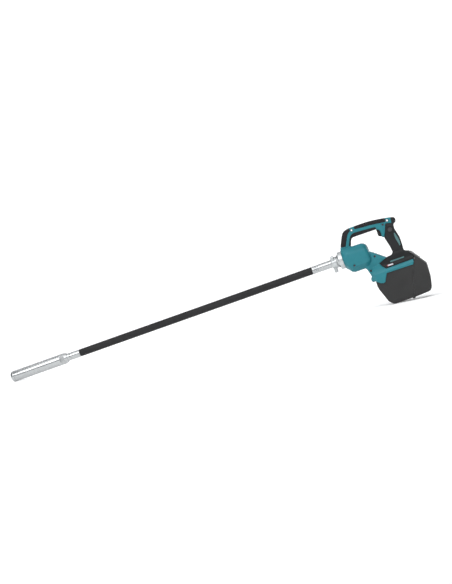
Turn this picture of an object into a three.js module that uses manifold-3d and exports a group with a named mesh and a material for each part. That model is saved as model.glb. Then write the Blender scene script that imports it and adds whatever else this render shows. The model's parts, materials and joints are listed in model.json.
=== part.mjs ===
// A cordless concrete vibrator (poker): a steel vibrating head on a stiff 1.2 m flexible shaft, driven by
// a brushless motor in a two-handled body that carries its battery in a closed case under the rear grip.
//
// Everything is drawn in the tool frame, in millimetres: X runs along the motor and shaft axis, from the
// head (negative) to the battery case (positive), with X = 0 in the front flange; Y is across the tool, and
// Z is up, with Z = 0 on the shaft axis. At the end the tool is laid down as it rests on a floor, on its
// head and on the front lower edge of the battery case.
import * as THREE from "three";
import { mergeVertices } from "three/addons/utils/BufferGeometryUtils.js";
import Module from "manifold-3d";

const wasm = await Module();
wasm.setup();

// ---------------------------------------------------------------- driving dimensions
const GAP = 0.3; // between pieces that touch
const KERF = 0.4; // between moulded skins that share a joint line
const ROUND = 24; // sides of a turned piece
const FINE_ROUND = 48; // sides of the barrel

const HEAD_R = 19;
const HEAD_TIP_X = -1220.5;
const HEAD_CAP_X = -1206; // joint between the tip cap and the tube
const HEAD_REAR_X = -1005;
const HEAD_BORE_R = 14;
const HEAD_FLAT_Y = 16.2; // half the width over the wrench flats
const NECK_R = 13;

const HOSE_R = 12.75;
const HOSE_BORE_R = 8.6;
const HOSE_FRONT_X = -958;
const HOSE_REAR_X = -100.5;
const LINER_R = 7.6;
const LINER_BORE_R = 5.6;
const BARB_R = 8.3;
const BARB_LENGTH = 30;
const CORE_R = 5;

const FERRULE_R = 13.4;
const FERRULE_SHOULDER_R = 15.4;
const NUT_FRONT_X = -31;
const NUT_REAR_X = -10.5;
const NUT_R = 19.5;
const NUT_LUG_R = 34;
const NUT_LUGS = 3;
const NUT_TURN = THREE.MathUtils.degToRad(-10); // where the lugs stop when the nut is tight
const COUPLING_X = -15; // joint between the flexible core and the motor's coupling

const FLANGE_FRONT_X = -4;
const FLANGE_REAR_X = 10.2;
const FLANGE_R = 30;
const FLANGE_BOLTS = 4;
const FLANGE_BOLT_CIRCLE_R = 24.5;
const WALL = 3.5; // moulded shell

const HANDLE_HALF = 15; // half width of the teal handle frame
const RUBBER_HALF = 16.5; // half width over the rubber on the handle
const GRIP_HALF = 18;
const NECK_HALF = 30;
const GUARD_HALF = 61;
const CASE_HALF = 58;
const CASE_WALL = 3.5;
const EYELETS = { front: [70, 84], rear: [192.5, 75] };
const EYELET_R = 4.2;
const EYELET_BORE_R = 2.8;

const CASE_BOTTOM = -196.3;
const DOOR_HINGE = [194, -195];
const SEAM_TOP = [233, -68]; // the door's joint line runs from the hinge to here
const SEAL = 1.2; // thickness of the door seal
const KNUCKLE_R = 5;
const KNUCKLE_SPLIT_Y = 30; // the door's knuckle lies inside this, the case's two outside it
const HINGE_PIN_R = 2;
const LATCH_PIVOT = [251.3, -76.9];
const CHAMFER = [[237.6, -57.2], [268.8, -102]]; // from the shoulder's rear edge to the door's
const LATCH_KNUCKLE_R = 2.8;
const LATCH_HALF = 44;
const TRIGGER_PIVOT = [158, 62];
const TRIGGER_HALF = 8.5;
const INLAY_FROM_Y = 8; // inlays reach in this far from the middle plane
const LOCK_BUTTON = [191.8, 43.2];
const LOCK_BUTTON_R = 7.5;
const SCREWS = [
  { at: [174.5, 66.5], face: HANDLE_HALF },
  { at: [42, -31], face: 42.5 },
  { at: [115, -24.5], face: NECK_HALF },
  { at: [87, -66], face: NECK_HALF },
];

// ---------------------------------------------------------------- geometry helpers
const MERGE = 1e-4;

// A closed three.js geometry as a manifold-3d solid with its faces outwards.
function solid(geometry) {
  const bare = geometry.clone();
  for (const name of Object.keys(bare.attributes)) {
    if (name !== "position") bare.deleteAttribute(name);
  }
  const merged = mergeVertices(bare, MERGE);
  const corners = merged.index.array;
  const triangles = [];
  for (let i = 0; i < corners.length; i += 3) {
    const [a, b, c] = [corners[i], corners[i + 1], corners[i + 2]];
    if (a !== b && b !== c && c !== a) triangles.push([a, b, c]);
  }
  const build = (list) =>
    new wasm.Manifold(
      new wasm.Mesh({
        numProp: 3,
        vertProperties: Float32Array.from(merged.attributes.position.array),
        triVerts: Uint32Array.from(list.flat()),
      }),
    );
  const made = build(triangles);
  return made.volume() < 0 ? build(triangles.map((t) => t.reverse())) : made;
}

function geometryOf(manifold) {
  const mesh = manifold.getMesh();
  const points = new Float32Array(mesh.numVert * 3);
  for (let i = 0; i < mesh.numVert; i++) {
    points.set(mesh.vertProperties.subarray(i * mesh.numProp, i * mesh.numProp + 3), i * 3);
  }
  return new THREE.BufferGeometry()
    .setAttribute("position", new THREE.BufferAttribute(points, 3))
    .setIndex(new THREE.BufferAttribute(mesh.triVerts, 1));
}

const join = (...solids) => solids.reduce((a, b) => a.add(b));
const cut = (from, ...tools) => tools.reduce((a, b) => a.subtract(b), from);

// A body turned round the X axis, or round a line parallel to it at height z. Profile points are [x, r].
function turned(profile, { z = 0, sides = ROUND } = {}) {
  const points = profile.map(([x, r]) => new THREE.Vector2(Math.max(r, 0), x));
  const lathe = new THREE.LatheGeometry(points, sides);
  lathe.rotateZ(-Math.PI / 2);
  lathe.translate(0, 0, z);
  return solid(lathe);
}

const rod = (x0, x1, r, options) =>
  turned([[x0, 0], [x0, r], [x1, r], [x1, 0]], options);
const ring = (x0, x1, outer, bore, options) =>
  turned([[x0, bore], [x0, outer], [x1, outer], [x1, bore], [x0, bore]], options);

// A cylinder across the tool, along Y, centred on [x, z].
function pinAcross([x, z], y0, y1, r, sides = 20) {
  const cylinder = new THREE.CylinderGeometry(r, r, y1 - y0, sides);
  cylinder.translate(x, (y0 + y1) / 2, z);
  return solid(cylinder);
}

function block(x0, x1, y0, y1, z0, z1) {
  const box = new THREE.BoxGeometry(x1 - x0, y1 - y0, z1 - z0);
  box.translate((x0 + x1) / 2, (y0 + y1) / 2, (z0 + z1) / 2);
  return solid(box);
}

// A closed outline through corners [a, b] or [a, b, setback]: a corner with a setback is rounded.
function outline(corners) {
  const shape = new THREE.Shape();
  corners.forEach((corner, i) => {
    const here = new THREE.Vector2(corner[0], corner[1]);
    const before = corners[(i + corners.length - 1) % corners.length];
    const after = corners[(i + 1) % corners.length];
    const setback = corner[2] || 0;
    const towards = (other) =>
      new THREE.Vector2(other[0], other[1]).sub(here).normalize().multiplyScalar(setback).add(here);
    const [start, end] = [towards(before), towards(after)];
    if (i === 0) shape.moveTo(start.x, start.y);
    else shape.lineTo(start.x, start.y);
    if (setback) shape.quadraticCurveTo(here.x, here.y, end.x, end.y);
  });
  shape.closePath();
  return shape;
}

const unrounded = (corners) => corners.map(([a, b]) => [a, b]);

// A side outline in X and Z, extruded across the tool from y0 to y1, with its edges bevelled.
function slab(corners, y0, y1, bevel = 0) {
  const extruded = new THREE.ExtrudeGeometry(outline(corners), {
    depth: y1 - y0 - 2 * bevel,
    curveSegments: 4,
    bevelEnabled: bevel > 0,
    bevelThickness: bevel,
    bevelSize: bevel,
    bevelOffset: -bevel,
    bevelSegments: 2,
  });
  extruded.rotateX(Math.PI / 2);
  extruded.translate(0, y1 - bevel, 0);
  return solid(extruded);
}

// A cross-section in Y and Z, extruded along X.
function prism(corners, x0, x1) {
  const extruded = new THREE.ExtrudeGeometry(outline(corners), {
    depth: x1 - x0,
    curveSegments: 3,
    bevelEnabled: false,
  });
  extruded.rotateX(Math.PI / 2); // outline's Y becomes Z, depth becomes -Y
  extruded.rotateZ(Math.PI / 2); // outline's X becomes Y, depth becomes X
  extruded.translate(x0, 0, 0);
  return solid(extruded);
}

// An outline in X and Y, seen from above, extruded upwards from z0 to z1.
function plan(corners, z0, z1) {
  const extruded = new THREE.ExtrudeGeometry(outline(corners), { depth: z1 - z0, bevelEnabled: false });
  extruded.translate(0, 0, z0);
  return solid(extruded);
}

// A thin wall across the whole tool along a line of points in X and Z: it parts two skins.
function kerf(points, width = KERF) {
  const REACH = 90;
  const walls = points.slice(1).map((end, i) => {
    const start = points[i];
    const along = new THREE.Vector2(end[0] - start[0], end[1] - start[1]);
    const wall = new THREE.BoxGeometry(along.length() + width, 2 * REACH, width);
    wall.rotateY(-along.angle());
    wall.translate((start[0] + end[0]) / 2, 0, (start[1] + end[1]) / 2);
    return solid(wall);
  });
  return join(...walls);
}

// The piece of a parted solid that holds the point [x, z] inside its side view.
function pieceAt(parted, [x, z]) {
  const probe = block(x - 1, x + 1, -2, 2, z - 1, z + 1);
  return parted.decompose().find((piece) => piece.intersect(probe).volume() > 0);
}

// A body lofted along X through super-elliptic sections {x, z, half, high, power}: a power of 2 is round.
// A section's corners are cut by flats at 45 degrees, where |y| + |z| comes to its chamfer.
function loft(sections, sides = FINE_ROUND) {
  const points = [];
  const faces = [];
  for (const s of sections) {
    for (let i = 0; i < sides; i++) {
      const a = (2 * Math.PI * i) / sides;
      const squash = (v) => Math.sign(v) * Math.abs(v) ** (2 / s.power);
      const [y, z] = [s.half * squash(Math.cos(a)), s.high * squash(Math.sin(a))];
      const scale = Math.min(1, s.chamfer / (Math.abs(y) + Math.abs(z)));
      points.push(s.x, scale * y, s.z + scale * z);
    }
  }
  const last = (sections.length - 1) * sides;
  for (let i = 0; i < sides; i++) {
    const next = (i + 1) % sides;
    for (let base = 0; base < last; base += sides) {
      faces.push(base + i, base + next, base + sides + i);
      faces.push(base + next, base + sides + next, base + sides + i);
    }
    if (i > 0 && next > 0) {
      faces.push(0, next, i);
      faces.push(last, last + i, last + next);
    }
  }
  const geometry = new THREE.BufferGeometry();
  geometry.setAttribute("position", new THREE.Float32BufferAttribute(points, 3));
  geometry.setIndex(faces);
  return solid(geometry);
}

// ---------------------------------------------------------------- materials
const finish = (color, roughness, metalness = 0) =>
  new THREE.MeshStandardMaterial({ color, roughness, metalness });
const TEAL = finish(0x1d8591, 0.45);
const BLACK_RUBBER = finish(0x2e2e30, 0.85);
const BLACK_PLASTIC = finish(0x252527, 0.6);
const CASE_GREY = finish(0x3c3c3d, 0.7);
const LATCH_GREY = finish(0x68686a, 0.5);
const HOSE_RUBBER = finish(0x3a3a3a, 0.75);
const STEEL = finish(0xc4c6c8, 0.22, 1);
const DARK_STEEL = finish(0x7a7c80, 0.4, 1);
const ALUMINIUM = finish(0xb9bdc0, 0.35, 1);
const COPPER = finish(0xa8662e, 0.4, 1);
const SEAL_RUBBER = finish(0x151515, 0.9);
const PALE_PLASTIC = finish(0x9fc3c6, 0.4);
const BUTTON_RED = finish(0xb01d22, 0.5);

const tool = new THREE.Group();
function add(name, manifold, material) {
  const mesh = new THREE.Mesh(geometryOf(manifold), material);
  mesh.name = name;
  tool.add(mesh);
}

// ---------------------------------------------------------------- vibrating head
function vibratingHead() {
  const oringX = HEAD_CAP_X + 6;
  const spigotR = HEAD_BORE_R - GAP;
  const cap = turned([
    [HEAD_TIP_X, 0], [HEAD_TIP_X, 11], [HEAD_TIP_X + 1.5, 15], [HEAD_TIP_X + 4.5, 17.8],
    [HEAD_TIP_X + 9, HEAD_R], [HEAD_CAP_X, HEAD_R], [HEAD_CAP_X, spigotR],
    [oringX - 1.6, spigotR], [oringX - 1.6, spigotR - 2.2], [oringX + 1.6, spigotR - 2.2],
    [oringX + 1.6, spigotR], [HEAD_CAP_X + 12, spigotR], [HEAD_CAP_X + 12, 0],
  ]);
  const tube = turned([
    [HEAD_CAP_X + GAP, HEAD_BORE_R], [HEAD_CAP_X + GAP, HEAD_R], [HEAD_REAR_X - 12, HEAD_R],
    [HEAD_REAR_X - 3, 16], [HEAD_REAR_X, 15], [HEAD_REAR_X, HEAD_BORE_R],
    [HEAD_CAP_X + GAP, HEAD_BORE_R],
  ]);
  const flats = [-1, 1].map((side) => {
    const [near, far] = [HEAD_FLAT_Y, HEAD_R + 2].map((y) => side * y);
    return block(HEAD_REAR_X - 26, HEAD_REAR_X - 10, Math.min(near, far), Math.max(near, far), -25, 25);
  });
  const connector = turned([
    [HEAD_REAR_X - 14, LINER_BORE_R], [HEAD_REAR_X - 14, spigotR], [HEAD_REAR_X - GAP, spigotR],
    [HEAD_REAR_X - GAP + 0.6, NECK_R], [HOSE_FRONT_X - 1.5, NECK_R],
    [HOSE_FRONT_X - GAP, NECK_R - 1], [HOSE_FRONT_X - GAP, BARB_R],
    [HOSE_FRONT_X + BARB_LENGTH, BARB_R - 0.4], [HOSE_FRONT_X + BARB_LENGTH, LINER_R + GAP],
    [HOSE_FRONT_X + 4, LINER_R + GAP], [HOSE_FRONT_X + 4, LINER_BORE_R],
    [HEAD_REAR_X - 14, LINER_BORE_R],
  ]);
  add("head_tip", cap, STEEL);
  add("head_oring", ring(oringX - 1.2, oringX + 1.2, spigotR, spigotR - 1.9), SEAL_RUBBER);
  add("head_tube", cut(tube, ...flats), STEEL);
  add("head_connector", connector, STEEL);

  const journalR = 5;
  const bearingR = HEAD_BORE_R - GAP;
  const bearing = (x) => ring(x, x + 11, bearingR, journalR + GAP, { sides: 24 });
  const frontBearingX = HEAD_CAP_X + 13;
  const rearBearingX = HEAD_REAR_X - 32;
  add("head_bearing_front", bearing(frontBearingX), DARK_STEEL);
  add("head_bearing_rear", bearing(rearBearingX), DARK_STEEL);
  const seal = ring(HEAD_REAR_X - 20, HEAD_REAR_X - 15, bearingR, journalR + GAP, { sides: 24 });
  add("head_seal", seal, SEAL_RUBBER);

  // The eccentric: a half-round weight between two journals, driven by a square socket in its rear end.
  const weightR = 12.6;
  const weight = cut(
    rod(frontBearingX + 12, rearBearingX - 1, weightR, { sides: 28 }),
    block(HEAD_TIP_X, HEAD_REAR_X, -20, 20, 2.5, 20),
  );
  const shaft = rod(frontBearingX, HEAD_REAR_X - 16, journalR, { sides: 24 });
  const socket = block(HEAD_REAR_X - 34, HEAD_REAR_X, -2.9, 2.9, -2.9, 2.9);
  add("eccentric_weight", cut(join(weight, shaft), socket), DARK_STEEL);
}

// ---------------------------------------------------------------- flexible shaft
function flexibleShaft() {
  add("hose", ring(HOSE_FRONT_X, HOSE_REAR_X, HOSE_R, HOSE_BORE_R, { sides: 24 }), HOSE_RUBBER);
  const linerFront = HOSE_FRONT_X + 4 + GAP;
  const linerRear = HOSE_REAR_X - 4 - GAP;
  add("hose_liner", ring(linerFront, linerRear, LINER_R, LINER_BORE_R, { sides: 20 }), DARK_STEEL);

  const tipHalf = 2.6;
  const coreFront = HEAD_REAR_X - 8;
  const coreRear = COUPLING_X - 10;
  add("shaft_core", rod(coreFront, coreRear, CORE_R, { sides: 16 }), DARK_STEEL);
  add("core_tip_front",
    block(HEAD_REAR_X - 32, coreFront - GAP, -tipHalf, tipHalf, -tipHalf, tipHalf), STEEL);
  add("core_tip_rear",
    block(coreRear + GAP, COUPLING_X + 10, -tipHalf, tipHalf, -tipHalf, tipHalf), STEEL);

  // The rear ferrule: a barb inside the hose, a long sleeve, and the shoulder that the nut pulls on.
  const ferrule = turned([
    [HOSE_REAR_X - BARB_LENGTH, LINER_R + GAP], [HOSE_REAR_X - BARB_LENGTH, BARB_R - 0.4],
    [HOSE_REAR_X + GAP, BARB_R], [HOSE_REAR_X + GAP, FERRULE_R - 0.8], [HOSE_REAR_X + 1.5, FERRULE_R],
    [NUT_FRONT_X + 6, FERRULE_R], [NUT_FRONT_X + 6, FERRULE_SHOULDER_R],
    [NUT_FRONT_X + 11, FERRULE_SHOULDER_R], [NUT_FRONT_X + 11, 9],
    [HOSE_REAR_X + 12, 9], [HOSE_REAR_X + 12, LINER_BORE_R], [HOSE_REAR_X - 4, LINER_BORE_R],
    [HOSE_REAR_X - 4, LINER_R + GAP], [HOSE_REAR_X - BARB_LENGTH, LINER_R + GAP],
  ]);
  add("shaft_ferrule", ferrule, STEEL);

  const ringBody = turned([
    [NUT_FRONT_X, FERRULE_R + GAP], [NUT_FRONT_X, NUT_R - 2], [NUT_FRONT_X + 2, NUT_R],
    [NUT_REAR_X - 2, NUT_R], [NUT_REAR_X, NUT_R - 1.5], [NUT_REAR_X, FERRULE_SHOULDER_R + GAP + 0.7],
    [NUT_FRONT_X + 5.5, FERRULE_SHOULDER_R + GAP + 0.7], [NUT_FRONT_X + 5.5, FERRULE_R + GAP],
    [NUT_FRONT_X, FERRULE_R + GAP],
  ]);
  const lugs = [];
  for (let i = 0; i < NUT_LUGS; i++) {
    const lug = new THREE.ExtrudeGeometry(
      outline([[-6.5, -NUT_R + 1], [-4.2, -NUT_LUG_R, 2.5], [4.2, -NUT_LUG_R, 2.5], [6.5, -NUT_R + 1]]),
      { depth: 12, bevelEnabled: false, curveSegments: 3 },
    );
    lug.rotateX(Math.PI / 2);
    lug.rotateZ(Math.PI / 2);
    lug.translate(NUT_FRONT_X + 2, 0, 0);
    lug.rotateX(NUT_TURN + (2 * Math.PI * i) / NUT_LUGS);
    lugs.push(solid(lug));
  }
  add("coupling_nut", join(ringBody, ...lugs), ALUMINIUM);
}

// ---------------------------------------------------------------- front flange and motor
function frontFlange() {
  const plate = turned([
    [-17, 10], [-17, 15], [-10, 15], [-10, 18.5], [-7.5, 18.5], [-7.5, 20.5], [FLANGE_FRONT_X, 22.5],
    [FLANGE_FRONT_X, FLANGE_R - 1.5], [FLANGE_FRONT_X + 1.5, FLANGE_R], [FLANGE_REAR_X, FLANGE_R],
    [FLANGE_REAR_X, 25], [20, 25], [20, 21.5], [12, 21.5], [12, 10], [-17, 10],
  ]);
  const bolts = [];
  const wells = [];
  for (let i = 0; i < FLANGE_BOLTS; i++) {
    const angle = Math.PI / 4 + (i * 2 * Math.PI) / FLANGE_BOLTS;
    const y = FLANGE_BOLT_CIRCLE_R * Math.cos(angle);
    const z = FLANGE_BOLT_CIRCLE_R * Math.sin(angle);
    const place = (made) => made.translate([FLANGE_FRONT_X, y, z]);
    const hex = solid(new THREE.CylinderGeometry(1.6, 1.6, 4, 6).rotateZ(Math.PI / 2).translate(-3, 0, 0));
    const bolt = cut(rod(-3.4, 0.6, 3.4, { sides: 16 }), hex);
    bolts.push(place(join(bolt, rod(0.5, 5.5, 1.8, { sides: 12 }))));
    wells.push(place(rod(-8, 0.9, 3.8, { sides: 16 })), place(rod(0, 7, 2.2, { sides: 12 })));
  }
  add("front_flange", cut(plate, ...wells), ALUMINIUM);
  bolts.forEach((bolt, i) => add(`flange_bolt_${i + 1}`, bolt, DARK_STEEL));
}

function motor() {
  const shaftR = 4;
  const bearing = (x) => ring(x, x + 7, 11, shaftR + GAP, { sides: 24 });
  add("motor_bearing_front", bearing(12.4), DARK_STEEL);
  add("motor_bearing_rear", bearing(84), DARK_STEEL);
  add("motor_stator", ring(30, 68, 27, 14.6), COPPER);
  add("motor_rotor", join(rod(32, 66, 14), rod(4.5, 91.5, shaftR, { sides: 16 })), DARK_STEEL);

  // The coupling on the front of the motor shaft, with the square socket that takes the core's rear tip.
  const sleeve = rod(COUPLING_X - 8, 12, 8.4, { sides: 24 });
  const socket = block(COUPLING_X - 9, COUPLING_X + 12, -3, 3, -3, 3);
  const shaftBore = rod(4, 13, shaftR + GAP, { sides: 16 });
  add("motor_coupling", cut(sleeve, socket, shaftBore), STEEL);

  const blades = [];
  const BLADES = 9;
  for (let i = 0; i < BLADES; i++) {
    const blade = new THREE.BoxGeometry(8, 1.6, 13);
    blade.translate(76.5, 0, 15.5);
    blade.rotateX((2 * Math.PI * i) / BLADES);
    blades.push(solid(blade));
  }
  const hub = ring(72, 81, 10, shaftR + GAP, { sides: 24 });
  const disc = ring(79, 81, 24, 9, { sides: 28 });
  add("motor_fan", join(hub, disc, ...blades), BLACK_PLASTIC);
}

// ---------------------------------------------------------------- body outlines, side view
// The D-handle's full side outline, from the barrel up the front post and back to the top of the rear grip.
const HANDLE = [
  [11, 22], [13, 35, 4], [22, 55.5, 6], [32.5, 77, 6], [40.5, 88, 6], [57, 93.7, 9], [125, 94, 20],
  [165, 89.5, 15], [204, 82.3, 6], [217, 78.3, 3], [220.3, 71, 4], [217.5, 61.5, 4], [208, 57.5, 3],
  [206.3, 45], [170.5, 33.5], [165.2, 24.6], [158.3, 29], [159.8, 42, 5], [157.5, 54, 5], [147, 59.2],
  [66, 60, 2], [60, 58, 2], [55, 50], [49.5, 34], [48.5, 22],
];
// The rear grip and the black shoulder under it.
const GRIP = [
  [207.5, 58], [206, 42, 8], [213.2, 10, 10], [213.2, -18, 10], [211.5, -38, 6], [228, -44.5, 4],
  [237.6, -57.2, 2], [233.4, -74, 2], [224, -74.3], [138, -75.2], [122, -52.6, 3], [153, -39.5, 4],
  [169, -38.5, 5], [175, -30, 6], [173.5, -13, 8], [166.5, 17, 6], [165, 23.5], [168, 28.7], [178.5, 53],
  [184, 66],
];
const NECK = [
  [66, -10], [98, -1], [110, -8.5], [151, -41.5], [160, -70], [160, -78], [106, -86], [101, -104.5],
  [82, -105], [77.5, -100], [78, -92], [83.2, -85], [76.5, -58], [70, -50],
];
const GUARD = [
  [84, -80], [97, -58], [121.5, -52.8], [138, -74.4], [222, -73.4], [232.8, -73.2], [231.8, -84],
  [228, -91.8], [136, -90.5], [128.5, -104], [122, -116.5], [115, -118.5], [105, -115], [93, -105.5],
  [84.5, -100],
];
// The battery case with its door, as one envelope.
const CASE = [
  [92, -79.5], [91.5, -128, 8], [97, -144], [110, -181, 6], [121, -192, 4], [128, CASE_BOTTOM, 4],
  [198, CASE_BOTTOM], [250, -193.3, 4], [257.5, -188, 4], [266.5, -152, 10], [268.6, -110], [268.8, -102, 4],
  [239.2, -59.5], [234.8, -79.5],
];
const CASE_INSIDE = [
  [97, -70], [95.2, -128, 7], [100.6, -143], [113, -179.3], [123, -189], [129, -192.8, 4], [198, -192.8],
  [249, -189.8, 3], [254.3, -186, 3], [263, -152, 9], [265.1, -110], [265.2, -103.5, 4], [242.5, -70, 3],
  [239.5, -83.5], [226, -83.5], [226, -70],
];
// Inlays let into the skin of the grip and the shoulder, in side view.
const GRIP_INLAY = [
  [199.8, 28, 1], [203, 27, 1], [206.4, 15], [208.8, 3, 4], [209.6, -7, 4], [207.6, -16.5, 1.5],
  [204.2, -19, 1], [203.2, -10, 4], [200.6, 1, 6], [198.8, 14, 5],
];
const SIDE_STRIP = [[157.6, -58.2], [160, -55.7], [206, -56.3], [207.4, -58.2], [205, -60.2], [159, -60.3]];
const NAME_PLATE = [[143, -65.4, 1], [166, -65.9, 1], [165, -70.6, 1], [145, -70.2, 1]];
const section = (half, top, bottom) => [
  [-half, top], [-half + 3, bottom, 11], [half - 3, bottom, 11], [half, top],
];

// Joint lines between the handle's skins.
const FRONT_GRIP_JOINT = [[5, 42.5], [33.5, 39], [44.5, 61], [51, 72.5], [57, 79], [63.5, 83], [64.5, 105]];
const INNER_GRIP_JOINT = [
  [60, 34.5], [44.5, 36.5], [55.5, 59.5], [60.5, 66], [67, 71], [75, 72.6], [110, 70.2], [148.5, 66.8],
  [149.5, 62], [145, 52],
];
const TOP_GRIP_JOINT = [
  [81, 105], [81, 84], [107, 81], [136, 79.4], [164, 75.4], [186.5, 72.5], [190.5, 105],
];
const REAR_GRIP_JOINT = [
  [210, 100], [204, 61.5], [187, 67], [184, 66], [178.5, 53], [168, 28.7], [163, 19],
];

// ---------------------------------------------------------------- housing and grips
function barrel(inset) {
  const shrink = ({ x, z, half, high, power, chamfer = 200 }) =>
    ({ x, z, half: half - inset, high: high - inset, power, chamfer: chamfer - inset * Math.SQRT2 });
  return loft([
    { x: FLANGE_REAR_X + GAP - inset, z: 0, half: 30.6, high: 30.6, power: 2 },
    { x: 13, z: -0.2, half: 34.4, high: 34.2, power: 2.1 },
    { x: 19, z: -3, half: 38.8, high: 36.8, power: 2.6 },
    { x: 27, z: -8, half: 42, high: 41.6, power: 3.2, chamfer: 65 },
    { x: 36, z: -9.8, half: 43.2, high: 43.2, power: 3.6, chamfer: 67 },
    { x: 84 - inset, z: -10.4, half: 43.8, high: 42.8, power: 3.6, chamfer: 67 },
    { x: 92 - inset, z: -10.5, half: 42.6, high: 39.8, power: 3.5, chamfer: 63.5 },
    { x: 97.5 - inset, z: -11.5, half: 39.8, high: 35.5, power: 3.3, chamfer: 57 },
    { x: 100.5 - inset, z: -13, half: 35.5, high: 30.5, power: 3, chamfer: 50 },
  ].map(shrink));
}

const largest = (manifold) => manifold.decompose().sort((a, b) => b.volume() - a.volume())[0];

function housing() {
  const joints = [FRONT_GRIP_JOINT, INNER_GRIP_JOINT, TOP_GRIP_JOINT, REAR_GRIP_JOINT]
    .map((line) => kerf(line));
  const tealHandle = cut(slab(HANDLE, -HANDLE_HALF, HANDLE_HALF, 3), ...joints);
  const rubberHandle = cut(slab(HANDLE, -RUBBER_HALF, RUBBER_HALF, 4), ...joints, barrel(-KERF));
  const frame = pieceAt(tealHandle, [100, 76]);

  const eyelets = Object.values(EYELETS).map((at) => pinAcross(at, -30, 30, EYELET_R + GAP));
  const wells = SCREWS.map(({ at, face }) =>
    join(pinAcross(at, -face - 5, -face + 7.4, 3.9, 16), pinAcross(at, -face, face - 4, 2.1, 12)));

  // The neck spreads to the width of the case on its way down.
  const spread = prism([
    [-NECK_HALF, -30], [-NECK_HALF - 3, -52, 8], [-GUARD_HALF + 4, -74, 10], [-GUARD_HALF, -84],
    [-GUARD_HALF, -130], [GUARD_HALF, -130], [GUARD_HALF, -84], [GUARD_HALF - 4, -74, 10],
    [NECK_HALF + 3, -52, 8], [NECK_HALF, -30],
  ], 60, 260);
  const guardPlan = plan([
    [80, -36], [84, -47], [97, -GUARD_HALF - 1], [260, -GUARD_HALF - 1],
    [260, GUARD_HALF + 1], [97, GUARD_HALF + 1], [84, 47], [80, 36],
  ], -130, -40);
  const outside = join(
    barrel(0),
    slab(NECK, -NECK_HALF, NECK_HALF, 5),
    slab(unrounded(GUARD), -GUARD_HALF, GUARD_HALF, 2).intersect(spread).intersect(guardPlan),
    frame,
  );
  const hollow = join(
    barrel(WALL),
    slab([
      [72, -14], [97, -7], [114, -21], [146, -46], [128, -76], [104, -79], [92, -79], [87, -66], [78, -50],
    ], -NECK_HALF + WALL, NECK_HALF - WALL),
    slab([[22, 20], [26, 50], [52, 84], [60, 86], [58, 74], [51, 66], [40, 36], [40, 20]],
      -HANDLE_HALF + 5, HANDLE_HALF - 5),
    rod(-30, FLANGE_REAR_X + 1.5, 27.5),
  );
  const bosses = SCREWS.map(({ at, face }) => pinAcross(at, -face + 3, face - 3, 5.4, 16));
  const flangeSeat = join(rod(-30, FLANGE_REAR_X + GAP, FLANGE_R + GAP), rod(6, 22, 25.3));
  const slotHalf = TRIGGER_HALF + 0.7;
  const triggerRoom = join(
    slab(
      [[140, 61.5], [140, 15], [160, 15], [166.7, 34], [170.5, 52], [166, 67.5], [152, 67.5]],
      -slotHalf, slotHalf,
    ),
    pinAcross(TRIGGER_PIVOT, -TRIGGER_HALF - 4.5, TRIGGER_HALF + 4.5, 1.8, 12),
  );
  const casePocket = slab(
    [[91.4, -79.1], [90.9, -128], [97, -145], [105, -170], [240, -200], [240, -79.1]],
    -CASE_HALF - 0.5, CASE_HALF + 0.5, 6,
  );
  const whole = cut(
    outside, cut(hollow, ...bosses.map((boss) => cut(boss, rod(20, 92, 27.4)))), flangeSeat, triggerRoom,
    casePocket, ...eyelets, ...wells, slab(GRIP, -80, 80), kerf([...GRIP, GRIP[0]], 2 * GAP),
  );
  add("housing_left", sideOf(whole, -1), TEAL);
  add("housing_right", sideOf(whole, 1), TEAL);
  const skins = { front_grip: [32, 60], inner_grip: [100, 65], top_grip: [130, 86] };
  for (const [name, at] of Object.entries(skins)) {
    add(name, cut(pieceAt(rubberHandle, at), ...eyelets), BLACK_RUBBER);
  }

  // The rear grip: a stem, the end of the handle over it, and the shoulder that spreads to the case.
  const shoulderSpread = prism([
    [-GRIP_HALF, 90], [-GRIP_HALF, -36, 6], [-30, -46, 8], [-52, -62, 6], [-54, -80],
    [54, -80], [52, -62, 6], [30, -46, 8], [GRIP_HALF, -36, 6], [GRIP_HALF, 90],
  ], 100, 260);
  const stem = slab(
    unrounded([...GRIP.slice(0, 5), [213, -58], [172, -58], ...GRIP.slice(12)]), -GRIP_HALF, GRIP_HALF, 6,
  );
  const shoulder = slab(GRIP, -70, 70)
    .intersect(shoulderSpread)
    .intersect(block(100, 260, -70, 70, -90, -34));
  const frameSweep = pieceAt(cut(slab(HANDLE, -30, 30), ...joints), [100, 76]);
  const gripHollow = join(
    slab([[182, 53], [201, 53], [202, 33], [205, 8], [205.5, -48], [180, -48], [180, -10], [173, 20]],
      -GRIP_HALF + 4, GRIP_HALF - 4),
    block(148, 228, -24, 24, -71.5, -54),
    block(182, 205, -14, 14, -60, -40),
    pinAcross(LOCK_BUTTON, -30, -10, LOCK_BUTTON_R + GAP, 24),
    latchShape(0.4, LATCH_HALF + 0.5),
  );
  const grip = cut(
    join(stem, shoulder, pieceAt(rubberHandle, [214, 70])), gripHollow, frameSweep,
    kerf(REAR_GRIP_JOINT, 2 * GAP), ...eyelets,
  );
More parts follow.
